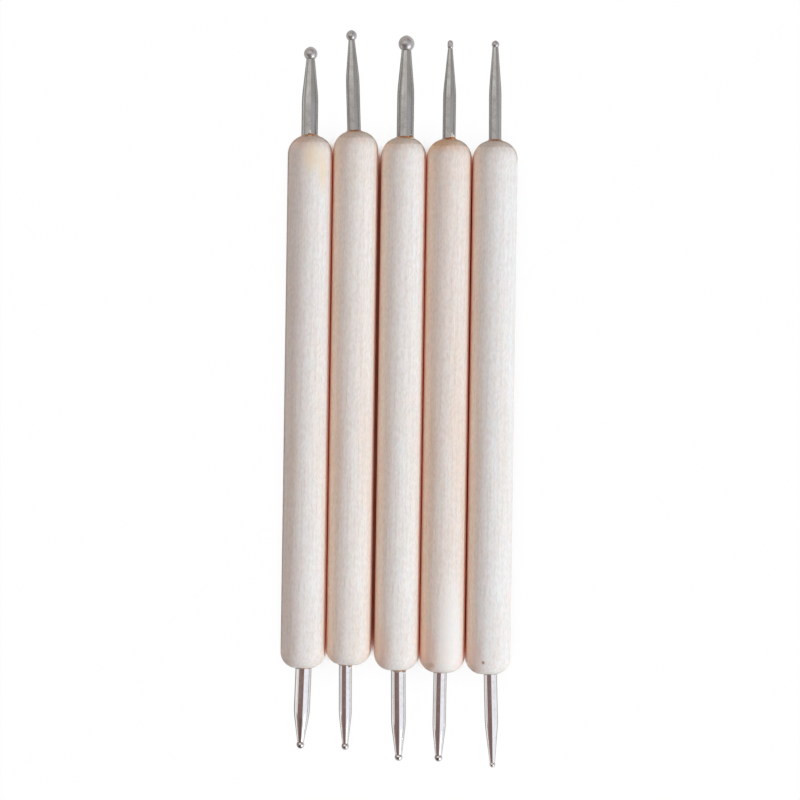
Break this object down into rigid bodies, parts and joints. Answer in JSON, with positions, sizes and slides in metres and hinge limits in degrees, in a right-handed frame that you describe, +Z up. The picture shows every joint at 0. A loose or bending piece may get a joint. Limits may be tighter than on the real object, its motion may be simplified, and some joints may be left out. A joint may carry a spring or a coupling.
{
  "type": "embossing stylus set",
  "caption": "Double-ended embossing styluses lying in a row: pale turned wood handles with a tapered plated steel shank and a small ball tip at each end, in graded sizes.",
  "frame": {"origin": "under the middle of the row's box, on the table that the handles lie on", "axes": "+Y along the handles towards the head ends, +X across the row from left to right as pictured, +Z up from the table towards the camera"},
  "size_m": [0.0408, 0.1306, 0.008],
  "materials": {
    "turned_wood": "sanded, unlacquered",
    "satin_steel": "satin plated",
    "polished_steel": "bright plated",
    "polished_ball": "polished",
    "set_glue": "clear amber, glossy"
  },
  "bodies": {
    "pen3": {"pen3_handle": "turned_wood", "pen3_head_shank": "satin_steel", "pen3_head_ball": "polished_ball", "pen3_head_glue": "set_glue", "pen3_tail_shank": "polished_steel", "pen3_tail_ball": "polished_ball", "pen3_tail_glue": "set_glue"},
    "pen1": {"pen1_handle": "turned_wood", "pen1_head_shank": "satin_steel", "pen1_head_ball": "polished_ball", "pen1_head_glue": "set_glue", "pen1_tail_shank": "polished_steel", "pen1_tail_ball": "polished_ball", "pen1_tail_glue": "set_glue"},
    "pen2": {"pen2_handle": "turned_wood", "pen2_head_shank": "satin_steel", "pen2_head_ball": "polished_ball", "pen2_head_glue": "set_glue", "pen2_tail_shank": "polished_steel", "pen2_tail_ball": "polished_ball", "pen2_tail_glue": "set_glue"},
    "pen4": {"pen4_handle": "turned_wood", "pen4_head_shank": "satin_steel", "pen4_head_ball": "polished_ball", "pen4_head_glue": "set_glue", "pen4_tail_shank": "polished_steel", "pen4_tail_ball": "polished_ball", "pen4_tail_glue": "set_glue"},
    "pen5": {"pen5_handle": "turned_wood", "pen5_head_shank": "satin_steel", "pen5_head_ball": "polished_ball", "pen5_head_glue": "set_glue", "pen5_tail_shank": "polished_steel", "pen5_tail_ball": "polished_ball", "pen5_tail_glue": "set_glue"}
  },
  "joints": [
    {"name": "pen1_draw", "type": "slide", "parent": "pen3", "child": "pen1", "axis": [0, -1, 0], "range_m": [0, 0.14]},
    {"name": "pen2_draw", "type": "slide", "parent": "pen3", "child": "pen2", "axis": [0, -1, 0], "range_m": [0, 0.14]},
    {"name": "pen4_draw", "type": "slide", "parent": "pen3", "child": "pen4", "axis": [0, -1, 0], "range_m": [0, 0.14]},
    {"name": "pen5_draw", "type": "slide", "parent": "pen3", "child": "pen5", "axis": [0, -1, 0], "range_m": [0, 0.14]}
  ]
}
